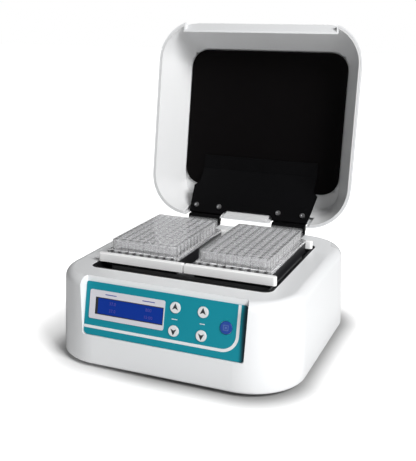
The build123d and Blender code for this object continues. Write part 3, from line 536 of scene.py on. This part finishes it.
@cache
def finishes():
    """Every finish of the mixer by name, made once."""
    colours = bpy.context.scene.thermal_mixer_finish
    plates = bpy.context.scene.thermal_mixer_plates
    return {
        # Mouldings and coated metal that are in sight
        "shell": surface("Gloss White Moulding", tuple(colours.casing), 0.30, tint=0.008,
                         rough_range=0.03, bump=0.003, coat_weight=0.25, coat_roughness=0.2),
        "liner": surface("Satin White Moulding", (0.80, 0.805, 0.81), 0.45, tint=0.008,
                         rough_range=0.03, bump=0.003),
        "black_plate": surface("Black Coated Plate", (0.0025, 0.002, 0.0022), 0.62, tint=0.2,
                               bump=0.05, specular_ior_level=0.06),
        "black_sheet": surface("Black Coated Sheet", (0.0025, 0.0025, 0.003), 0.55, tint=0.2,
                               bump=0.05, specular_ior_level=0.08),
        "well": surface("Dark Grey Moulding", (0.006, 0.006, 0.007), 0.55, tint=0.15, bump=0.05,
                        specular_ior_level=0.2),
        "block": surface("Black Anodised Block", (0.012, 0.012, 0.014), 0.45, effect="lines",
                         tint=0.2),
        # The bars glow a little: painted light standing in for the floor's bounce that the deck
        # keeps off them
        "strip": surface("Pale Coated Bar With Painted Glow", (0.95, 0.95, 0.95), 0.30, tint=0.01, bump=0.01,
                         coat_weight=0.3, coat_roughness=0.15, emission_color=(1, 1, 1, 1),
                         emission_strength=0.08),
        # Control panel, with painted shade near its right end, where the recess wall's shadow falls
        "film": paint_shade_along(
            surface("Teal Panel Film", tuple(colours.film), 0.36, tint=0.05, bump=0.01,
                    specular_ior_level=0.25),
            82.2 * MM, 87.4 * MM, 0.9),
        "frame": surface("Pale Grey Frame", (0.70, 0.69, 0.74), 0.4, tint=0.02),
        "display": surface("Blue Display", tuple(colours.display), 0.25, tint=0.05, bump=0.0,
                           specular_ior_level=0.2),
        "key": surface("White Key", (0.80, 0.81, 0.82), 0.33, tint=0.01),
        "run_key": surface("Blue Key", tuple(colours.run_key), 0.3, tint=0.03),
        "arrow": surface("Dark Key Print", (0.02, 0.025, 0.03), 0.5, tint=0.05),
        "stripe": surface("White Print", (0.82, 0.83, 0.84), 0.4, tint=0.01),
        "run_print": surface("Pale Key Print", (0.09, 0.16, 0.42), 0.45, tint=0.05),
        "frame_print": surface("Blue Frame Print", (0.10, 0.13, 0.38), 0.45, tint=0.05),
        "digits": surface("Display Digits", (0.07, 0.06, 0.34), 0.4, tint=0.05),
        # Fittings, and what is inside
        "rubber": surface("Dark Rubber", (0.02, 0.02, 0.02), 0.7, tint=0.2, bump=0.15),
        "steel": surface("Plain Steel", (0.50, 0.50, 0.51), 0.3, effect="lines", tint=0.1,
                         metallic=1.0),
        "dark_steel": surface("Dark Steel", (0.10, 0.10, 0.11), 0.45, tint=0.1, metallic=0.8),
        "brass": surface("Turned Brass", (0.62, 0.44, 0.16), 0.3, effect="lines", tint=0.1,
                         metallic=1.0),
        "board": surface("Circuit Board", (0.015, 0.14, 0.05), 0.4, tint=0.2),
        "cage": surface("Folded Aluminium", (0.50, 0.51, 0.52), 0.4, effect="lines", tint=0.1,
                        metallic=1.0),
        "heater": surface("Silicone Heater", (0.42, 0.12, 0.03), 0.6, tint=0.1, bump=0.1),
        "pale_heater": surface("White Silicone Heater", (0.72, 0.72, 0.71), 0.6, tint=0.02,
                               bump=0.05),
        "foam": surface("Closed-Cell Foam", (0.22, 0.22, 0.23), 0.85, tint=0.1, bump=0.3),
        "black_plastic": surface("Black Moulding", (0.018, 0.018, 0.02), 0.42, tint=0.15,
                                 bump=0.08),
        # Clear plates and their lids
        "clear": let_light_through(
            # Painted shade between the wells of the plates
            shade_between_wells(
                surface("Clear Polystyrene", (0.95, 0.95, 0.96), 0.04, tint=0.01,
                        rough_range=0.02, bump=0.0, transmission_weight=0.84, ior=1.55),
                plates.pitch, plates.well_radius + plates.well_wall, 0.92),
            0.8),
        "clear_lid": let_light_through(
            surface("Clear Lid Polystyrene", (0.80, 0.81, 0.82), 0.08, tint=0.01,
                    rough_range=0.02, bump=0.0, alpha=0.11),
            0.95),
    }


# CAD pieces that stay in sight as they are, by finish
FRAME_FINISH = {
    "shell": ("base_housing", "bottom_cover", "lid_cover"),
    "liner": ("lid_liner",),
    "black_plate": ("lid_panel",),
    "black_sheet": ("hinge_bracket", "hinge_leaves", "hinge_mounts", "hinge_pins"),
    "well": ("well_liner", "well_bezel"),
    "block": ("block_left", "block_right"),
    "strip": ("end_strips",),
    "frame": ("display_bezel",),
    "display": ("display_module",),
    "rubber": ("feet",),
    "steel": ("cover_screws", "drive_posts", "idler_lower_bearings", "idler_upper_bearings",
              "mount_screws", "hinge_screws", "drive_spindle", "drive_crank", "block_sensors",
              "block_screws", "platform_bearing", "idler_front_left", "idler_front_right",
              "idler_rear_left", "idler_rear_right"),
    "dark_steel": ("motor", "counterweight"),
    "brass": ("board_standoffs", "inlet_pins"),
    "board": ("control_board", "main_board"),
    "cage": ("drive_plate", "power_supply", "carrier"),
    "heater": ("heater_mats",),
    "pale_heater": ("lid_heater",),
    "foam": ("lid_insulation", "insulation_pad"),
    "black_plastic": ("inlet_socket", "switch_frame", "fuse_holder", "power_rocker"),
}


# ---- the pieces and the stage -------------------------------------------


class DressFrame(Operator):
    """Give every CAD piece that stays in sight its finish"""

    bl_idname = "mixer.dress_frame"
    bl_label = "Dress CAD Pieces"

    def execute(self, context):
        made = finishes()
        for finish, names in FRAME_FINISH.items():
            for name in names:
                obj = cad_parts[name]
                obj.data.materials.clear()
                obj.data.materials.append(made[finish])
        return {"FINISHED"}


class BuildMicroplates(Operator):
    """Model the two clear microplates with their rows of round wells"""

    bl_idname = "mixer.build_microplates"
    bl_label = "Build Microplates"

    WELLS = (8, 12)

    def execute(self, context):
        left = self.shape_plate(context.scene.thermal_mixer_plates)
        lay_pair(left, "microplate_right", "plate", finishes()["clear"])
        return {"FINISHED"}

    def shape_plate(self, sizes):
        """A skirted shell under a thin deck, with a well hanging at every step of the grid."""
        low, high = corners("plate_left")
        width, length, height = high - low
        foot_height = 2.6 * MM
        foot_wall = 2.0 * MM
        corner = 3.2 * MM
        step_in = 4.6 * MM  # from the foot to the upper walls
        deck_top = height - 0.4 * MM  # the rims of the wells stand above it
        deck_low = deck_top - sizes.deck
        wall_in = step_in + sizes.skirt
        plate = rounded_block("microplate_left", (width, length, foot_height),
                              (0, 0, foot_height / 2), corner)
        upper = rounded_block("plate_upper", (width - 2 * step_in, length - 2 * step_in, deck_top),
                              (0, 0, deck_top / 2), corner)
        join(plate, upper)
        soften(plate, 0.25 * MM)
        hollow = rounded_block(
            "plate_hollow", (width - 2 * wall_in, length - 2 * wall_in, deck_low + 4 * MM),
            (0, 0, deck_low / 2 - 2 * MM), 2.4 * MM)
        cut(plate, hollow)
        seat = rounded_block(
            "plate_seat", (width - 2 * foot_wall, length - 2 * foot_wall, 4.2 * MM),
            (0, 0, 0.1 * MM), 2.0 * MM)
        cut(plate, seat)
        cups = new_disc("plate_cups", sizes.well_radius + sizes.well_wall, foot_height, height,
                        sides=14)
        repeat(cups, self.WELLS, sizes.pitch)
        join(plate, cups)
        bores = new_disc("plate_bores", sizes.well_radius, foot_height + 1 * MM, height + 2 * MM,
                         sides=14)
        repeat(bores, self.WELLS, sizes.pitch)
        cut(plate, bores)
        return plate


class BuildPlateLids(Operator):
    """Model the clear covers of the microplates"""

    bl_idname = "mixer.build_plate_lids"
    bl_label = "Build Plate Lids"

    def execute(self, context):
        lay_pair(self.shape_lid(), "plate_cover_right", "plate_lid", finishes()["clear_lid"])
        return {"FINISHED"}

    def shape_lid(self):
        """A shallow box open below, with a raised border on top and a step round its skirt."""
        low, high = corners("plate_lid_left")
        width, length, height = high - low
        step_in = 0.4 * MM  # from the skirt's foot to the upper walls
        foot_height = 4.6 * MM
        wall = 1.25 * MM
        sheet = 1.45 * MM  # from the raised border down to the underside
        cover = rounded_block("plate_cover_left",
                              (width - 2 * step_in, length - 2 * step_in, height),
                              (0, 0, height / 2), 3.4 * MM)
        foot = rounded_block("cover_foot", (width, length, foot_height), (0, 0, foot_height / 2),
                             3.6 * MM)
        join(cover, foot)
        with edit_mode(cover):
            pick_faces(cover, lambda middle, facing: facing.z > 0.9
                       and middle.z > height - 0.1 * MM)
            bpy.ops.mesh.inset(thickness=2.2 * MM)
            bpy.ops.transform.translate(value=(0, 0, -0.45 * MM))
        soften(cover, 0.3 * MM)
        hollow = rounded_block("cover_hollow", (width - 2 * wall, length - 2 * wall, height),
                               (0, 0, height / 2 - sheet), 2.6 * MM)
        cut(cover, hollow)
        return cover


class BuildKeys(Operator):
    """Model the round keys with their printed arrows and the run key with its sign"""

    bl_idname = "mixer.build_keys"
    bl_label = "Build Keys"

    # Body, place across and up the panel, radius, and the way its arrow points (none: the run key)
    KEYS = (
        ("key_temperature_down", 13.5 * MM, -8.8 * MM, 5.6 * MM, -1),
        ("key_temperature_up", 13.5 * MM, 14.7 * MM, 5.6 * MM, 1),
        ("key_speed_down", 43.3 * MM, -8.8 * MM, 5.6 * MM, -1),
        ("key_speed_up", 43.3 * MM, 14.7 * MM, 5.6 * MM, 1),
        ("key_run", 68.2 * MM, 3.4 * MM, 6.25 * MM, 0),
    )
    PRINT_LOW = PANEL_FACE + 0.80 * MM
    PRINT_HIGH = PANEL_FACE + 0.90 * MM

    def execute(self, context):
        made = finishes()
        arrow_size = context.scene.thermal_mixer_print.arrow
        for body, across, up, radius, direction in self.KEYS:
            place = PANEL @ Matrix.Translation((across, up, 0))
            cap = self.shape_cap(f"cap_{body[4:]}", radius)
            settle(cap, place)
            smooth(cap)
            if direction:
                dress(cap, made["key"], "key_white", body, body)
                sign = self.shape_arrow(f"arrow_{body[4:]}", arrow_size, direction)
            else:
                dress(cap, made["run_key"], "key_blue", body, body)
                sign = self.shape_run_sign()
            settle(sign, place)
            dress(sign, made["arrow" if direction else "run_print"], "black_plastic", body)
        return {"FINISHED"}

    def shape_cap(self, name, radius):
        """A dished cap with a soft edge on a thin stem."""
        stem_radius = 2.5 * MM
        stem_length = 6.5 * MM
        cap = new_disc(name, radius, 0.7 * MM, self.PRINT_HIGH)
        with edit_mode(cap):
            pick_faces(cap, lambda middle, facing: facing.z > 0.9)
            bpy.ops.mesh.bevel(offset=0.45 * MM, segments=3, affect="EDGES")
            pick_faces(cap, lambda middle, facing: facing.z > 0.99
                       and middle.z > self.PRINT_HIGH - 0.01 * MM)
            for _ in range(2):
                bpy.ops.mesh.inset(thickness=0.8 * MM)
                bpy.ops.transform.translate(value=(0, 0, -0.06 * MM))
            pick_faces(cap, lambda middle, facing: facing.z < -0.9)
            bpy.ops.mesh.inset(thickness=radius - stem_radius)
            bpy.ops.mesh.extrude_region_move(
                TRANSFORM_OT_translate={"value": (0, 0, -stem_length)})
        return cap

    def shape_arrow(self, name, size, direction):
        """A flat arrowhead with a notch in its foot."""
        arrow = new_disc(name, size, self.PRINT_LOW, self.PRINT_HIGH, sides=3)
        with edit_mode(arrow, "EDGE"):
            pick_edges(arrow, lambda middle, line: middle.y < -0.3 * size and abs(line.z) < 0.1)
            bpy.ops.mesh.subdivide(number_cuts=1)
            pick_verts(arrow, lambda spot: abs(spot.x) < 0.1 * MM and spot.y < 0)
            bpy.ops.transform.translate(value=(0, 0.36 * size, 0))
        arrow.data.transform(Matrix.Diagonal((0.95, 1.12, 1, 1)))
        if direction < 0:
            arrow.data.transform(Matrix.Rotation(pi, 4, "Z"))
        return arrow

    def shape_run_sign(self):
        """A small open square with a smaller square inside."""
        bpy.ops.mesh.primitive_plane_add(size=5.6 * MM, location=(0, 0, 0))
        sign = bpy.context.object
        sign.name = "sign_run"
        with edit_mode(sign):
            bpy.ops.mesh.select_all(action="SELECT")
            bpy.ops.mesh.inset(thickness=0.75 * MM)
            bpy.ops.mesh.inset(thickness=1.0 * MM)
            pick_faces(sign, lambda middle, facing: 1.0 * MM < middle.length < 2.2 * MM)
            bpy.ops.mesh.delete(type="FACE")
        apply_modifier(sign, "SOLIDIFY", thickness=0.1 * MM, offset=0)
        sign.data.transform(Matrix.Translation((0, 0, PANEL_FACE + 0.86 * MM)))
        return sign


class BuildPanelFilm(Operator):
    """Model the film of the control panel with its holes and its rounded corners"""

    bl_idname = "mixer.build_panel_film"
    bl_label = "Build Panel Film"

    def execute(self, context):
        width, height = 176.6 * MM, 55.4 * MM
        key_gap = 0.3 * MM
        film = rounded_block("panel_film", (width, height, PANEL_FACE), (0, 0, PANEL_FACE / 2),
                             2.0 * MM)
        cut(film, self.shape_corner(-width / 2, -height / 2, 4.5 * MM))
        cut(film, new_block("film_window", (77.8 * MM, 18.0 * MM, 6 * MM), (*DISPLAY_AT, 0)))
        for _, across, up, radius, _ in BuildKeys.KEYS:
            cut(film, new_disc("film_hole", radius + key_gap, -3 * MM, 3 * MM, (across, up)))
        soften(film, 0.12 * MM, steps=1)
        settle(film, PANEL)
        smooth(film)
        dress(film, finishes()["film"], "teal_panel", "base", "front_panel")
        return {"FINISHED"}

    def shape_corner(self, left, low, radius):
        """What the larger round corner of the film leaves away."""
        corner = new_block("film_corner", (2 * radius, 2 * radius, 3 * MM),
                           (left, low, PANEL_FACE / 2))
        cut(corner, new_disc("film_round", radius, -2 * MM, 4 * MM, (left + radius, low + radius)))
        return corner


class BuildPanelPrint(Operator):
    """Model the white stripe and the small marks printed on the control panel"""

    bl_idname = "mixer.build_panel_print"
    bl_label = "Build Panel Print"

    INK = 0.06 * MM  # thickness of the print
    FRAME_FACE = PANEL_FACE + 0.6 * MM
    # Name, place across and up the panel and out of it, length and height, finish and slot
    MARKS = (
        ("mark_keys_left", (13.5 * MM, 2.9 * MM, PANEL_FACE), (6.4 * MM, 0.8 * MM),
         "stripe", "shell_white"),
        ("mark_keys_right", (43.3 * MM, 2.9 * MM, PANEL_FACE), (5.6 * MM, 0.8 * MM),
         "stripe", "shell_white"),
        ("mark_frame_left", (-59.0 * MM, 16.2 * MM, FRAME_FACE), (13.0 * MM, 1.0 * MM),
         "frame_print", "key_blue"),
        ("mark_frame_right", (-16.0 * MM, 16.2 * MM, FRAME_FACE), (14.0 * MM, 1.0 * MM),
         "frame_print", "key_blue"),
    )

    def execute(self, context):
        made = finishes()
        sizes = context.scene.thermal_mixer_print
        stripe = self.shape_stripe(sizes.stripe, sizes.bend)
        settle(stripe, PANEL)
        dress(stripe, made["stripe"], "shell_white", "base")
        for name, (across, up, face), size, finish, slot in self.MARKS:
            mark = rounded_block(name, (*size, self.INK), (across, up, face + self.INK / 2),
                                 0.3 * MM, steps=2)
            settle(mark, PANEL)
            dress(mark, made[finish], slot, "base")
        return {"FINISHED"}

    def shape_stripe(self, width, bend):
        """A flat strip that runs along the panel and turns up its right side."""
        start, end = -88.2 * MM, 64.5 * MM
        low, top = -19.3 * MM, 27.6 * MM
        bpy.ops.mesh.primitive_plane_add(size=1, location=(0, 0, 0))
        stripe = bpy.context.object
        stripe.name = "panel_stripe"
        stripe.data.transform(Matrix.Translation(((start + end) / 2, low, 0))
                              @ Matrix.Diagonal((end - start, width, 1, 1)))
        with edit_mode(stripe, "EDGE"):
            pick_edges(stripe, lambda middle, line: middle.x > end - 0.01 * MM)
            bpy.ops.mesh.spin(steps=14, angle=-pi / 2, center=(end, low + bend, 0), axis=(0, 0, 1))
            bpy.ops.mesh.extrude_region_move(
                TRANSFORM_OT_translate={"value": (0, top - low - bend, 0)})
        apply_modifier(stripe, "SOLIDIFY", thickness=self.INK, offset=0)
        stripe.data.transform(Matrix.Translation((0, 0, PANEL_FACE + self.INK / 2)))
        return stripe


class BuildDisplay(Operator):
    """Model the lit display with its digits and a dark frame round it, which is painted shadow of
    the bezel
    """

    bl_idname = "mixer.build_display"
    bl_label = "Build Display"

    FACE = (77.4 * MM, 17.6 * MM)
    FACE_TOP = 1.3 * MM
    PRINT_AT = 1.34 * MM
    # Name, digits, and their middle across and up the display
    DIGITS = (
        ("display_digits_left", "37.0", -19.0 * MM, 3.6 * MM),
        ("display_digits_right", "800", 22.0 * MM, 3.6 * MM),
        ("display_digits_low_left", "37.0", -19.0 * MM, -3.9 * MM),
        ("display_digits_low_right", "15:00", 22.0 * MM, -3.9 * MM),
    )

    def execute(self, context):
        made = finishes()
        display = PANEL @ Matrix.Translation((*DISPLAY_AT, 0))
        face = rounded_block("display_face", (*self.FACE, self.FACE_TOP),
                             (0, 0, self.FACE_TOP / 2), 0.4 * MM, steps=2)
        soften(face, 0.1 * MM)
        settle(face, display)
        dress(face, made["display"], "display_blue", "base", "display_window")
        # Painted shadow of the bezel, laid round the lit area
        mask = self.shape_bezel_shadow()
        settle(mask, display)
        dress(mask, made["black_plastic"], "black_plastic", "base")
        for name, words, across, up in self.DIGITS:
            digits = self.shape_digits(name, words, 4.6 * MM)
            settle(digits, display @ Matrix.Translation((across, up, self.PRINT_AT)))
            dress(digits, made["digits"], "display_blue", "base")
        return {"FINISHED"}

    def shape_bezel_shadow(self):
        """A thin dark frame round the lit area, wider at its left: painted shadow of the bezel on
        the sunken display.
        """
        mask = rounded_block("display_bezel_shadow", (*self.FACE, 0.2 * MM), (0, 0, self.PRINT_AT),
                             0.4 * MM, steps=2)
        cut(mask, new_block("bezel_shadow_window", (74.0 * MM, 16.2 * MM, 2 * MM),
                            (1.2 * MM, 0, self.PRINT_AT)))
        return mask

    def shape_digits(self, name, words, size):
        """Plain digits as a thin mesh."""
        bpy.ops.object.text_add(location=(0, 0, 0))
        text = bpy.context.object
        text.data.body = words
        text.data.size = size
        text.data.align_x = "CENTER"
        text.data.align_y = "CENTER"
        text.data.extrude = 0.03 * MM
        text.data.resolution_u = 3
        focus(text)
        bpy.ops.object.convert(target="MESH")
        text = bpy.context.object
        text.name = name
        return text


class BuildStage(Operator):
    """Set up the pale floor, the studio lights and the camera"""

    bl_idname = "mixer.build_stage"
    bl_label = "Build Stage"

    def execute(self, context):
        settings = context.scene.thermal_mixer_stage
        self.add_camera(context, settings)
        self.add_floor()
        self.add_area("Key Light", (1.62, -0.92, 1.6), (0, 0, 0.1), 0.9, settings.key_power)
        self.add_area("Fill Light", (0.25, -2.2, 1.0), (0, 0, 0.15), 1.4, settings.fill_power)
        self.add_surround(context, settings)
        context.scene.view_settings.view_transform = "Standard"
        return {"FINISHED"}

    def add_camera(self, context, settings):
        """Stand the camera up from its turn, dip and roll."""
        right = Vector((cos(settings.turn), sin(settings.turn), 0))
        back = Vector((sin(settings.turn) * cos(settings.dip),
                       -cos(settings.turn) * cos(settings.dip),
                       sin(settings.dip)))
        above = back.cross(right)
        across = right * cos(settings.roll) + above * sin(settings.roll)
        upward = above * cos(settings.roll) - right * sin(settings.roll)
        turned = Matrix((across, upward, back)).transposed().to_4x4()
        lens = bpy.data.cameras.new("Studio Camera")
        lens.lens = settings.lens
        lens.sensor_width = 36
        lens.shift_x, lens.shift_y = settings.shift
        camera = bpy.data.objects.new("Studio Camera", lens)
        camera.matrix_world = Matrix.Translation(settings.place) @ turned
        context.scene.collection.objects.link(camera)
        context.scene.camera = camera

    def add_floor(self):
        """Lay a wide pale floor with a painted contact shadow round the mixer, kept white to the
        eye farther off by a glow of painted light.
        """
        bpy.ops.mesh.primitive_plane_add(size=12, location=(0, 0, 0))
        floor = bpy.context.object
        floor.name = "studio_floor"
        material = surface("Pale Studio Floor", (0.90, 0.90, 0.90), 0.85, tint=0.003, bump=0.0)
        nodes, links = material.node_tree.nodes, material.node_tree.links
        # How far a point lies beyond a block inside the casing, and how far toward its lit side
        beyond = vector_steps(
            nodes, links,
            ("SUBTRACT", (0, -0.0376, 0)), ("ABSOLUTE",),
            ("SUBTRACT", (0.082, 0.078, 0)), ("MAXIMUM", (0, 0, 0)), ("LENGTH",))
        toward = vector_steps(nodes, links, ("DOT_PRODUCT", (1, -0.5, 0)))
        # Painted shadow: the floor's colour darkens close to the casing, most toward its lit side
        near = ramp(nodes, links, beyond, 0.044, 0.098, 0.66, 0.0)
        lit = ramp(nodes, links, toward, -0.04, 0.09)
        paint_over(material, combine(nodes, links, "MULTIPLY", near, lit), (0.05, 0.05, 0.05))
        # Painted light: a glow that only the camera sees, weak beside the mixer and full far away
        glow_near = ramp(nodes, links, beyond, 0.046, 0.082, 0.0, 0.40)
        glow_far = ramp(nodes, links, beyond, 0.055, 0.16, 0.0, 0.75)
        glow = combine(nodes, links, "ADD", glow_near, glow_far)
        path = nodes.new("ShaderNodeLightPath")
        lamp = nodes.new("ShaderNodeEmission")
        both = nodes.new("ShaderNodeAddShader")
        seen = combine(nodes, links, "MULTIPLY", path.outputs["Is Camera Ray"], glow)
        links.new(seen, lamp.inputs["Strength"])
        links.new(nodes["Principled BSDF"].outputs["BSDF"], both.inputs[0])
        links.new(lamp.outputs["Emission"], both.inputs[1])
        links.new(both.outputs["Shader"], nodes["Material Output"].inputs["Surface"])
        floor.data.materials.append(material)

    def add_surround(self, context, settings):
        """Set a dim surround that looks white to the eye and through clear pieces."""
        world = bpy.data.worlds.new("Studio Surround")
        world.use_nodes = True
        nodes, links = world.node_tree.nodes, world.node_tree.links
        path = nodes.new("ShaderNodeLightPath")
        seen = combine(nodes, links, "MAXIMUM", path.outputs["Is Camera Ray"],
                       path.outputs["Is Transmission Ray"])
        level = ramp(nodes, links, seen, 0.0, 1.0, settings.surround, 1.0, "LINEAR")
        links.new(level, nodes["Background"].inputs["Strength"])
        nodes["Background"].inputs["Color"].default_value = (1.0, 1.0, 1.0, 1)
        context.scene.world = world

    def add_area(self, name, place, aim, size, power):
        """Add one square area light facing a point."""
        light = bpy.data.lights.new(name, "AREA")
        light.size = size
        light.energy = power
        obj = bpy.data.objects.new(name, light)
        direction = Vector(place) - Vector(aim)
        turned = direction.to_track_quat("Z", "Y").to_matrix().to_4x4()
        obj.matrix_world = Matrix.Translation(place) @ turned
        bpy.context.scene.collection.objects.link(obj)


class VIEW3D_PT_thermal_mixer(Panel):
    """Sidebar panel of the thermal mixer"""

    bl_label = "Thermal Mixer"
    bl_space_type = "VIEW_3D"
    bl_region_type = "UI"
    bl_category = "Thermal Mixer"

    def draw(self, context):
        layout = self.layout
        scene = context.scene
        for group in (scene.thermal_mixer_finish, scene.thermal_mixer_plates,
                      scene.thermal_mixer_print, scene.thermal_mixer_stage):
            for name in group.__annotations__:
                layout.prop(group, name)
        for operator in OPERATORS:
            layout.operator(operator.bl_idname)


# In the order of building
OPERATORS = (BuildStage, DressFrame, BuildMicroplates, BuildPlateLids, BuildKeys, BuildPanelFilm,
             BuildPanelPrint, BuildDisplay)
SETTINGS = (ThermalMixerFinish, ThermalMixerPlates, ThermalMixerPrint, ThermalMixerStage)


def register():
    """Make the sizes, operators and sidebar panel known."""
    for item in (*SETTINGS, *OPERATORS, VIEW3D_PT_thermal_mixer):
        bpy.utils.register_class(item)
    bpy.types.Scene.thermal_mixer_finish = PointerProperty(type=ThermalMixerFinish)
    bpy.types.Scene.thermal_mixer_plates = PointerProperty(type=ThermalMixerPlates)
    bpy.types.Scene.thermal_mixer_print = PointerProperty(type=ThermalMixerPrint)
    bpy.types.Scene.thermal_mixer_stage = PointerProperty(type=ThermalMixerStage)


def unregister():
    """Take the sizes, operators and sidebar panel away."""
    del bpy.types.Scene.thermal_mixer_stage
    del bpy.types.Scene.thermal_mixer_print
    del bpy.types.Scene.thermal_mixer_plates
    del bpy.types.Scene.thermal_mixer_finish
    for item in (VIEW3D_PT_thermal_mixer, *reversed(OPERATORS), *reversed(SETTINGS)):
        bpy.utils.unregister_class(item)


def main():
    """Dress the whole mixer."""
    register()
    deselect_all()
    for operator in OPERATORS:
        group, name = operator.bl_idname.split(".")
        getattr(getattr(bpy.ops, group), name)()
        deselect_all()


if __name__ == "__main__":
    main()
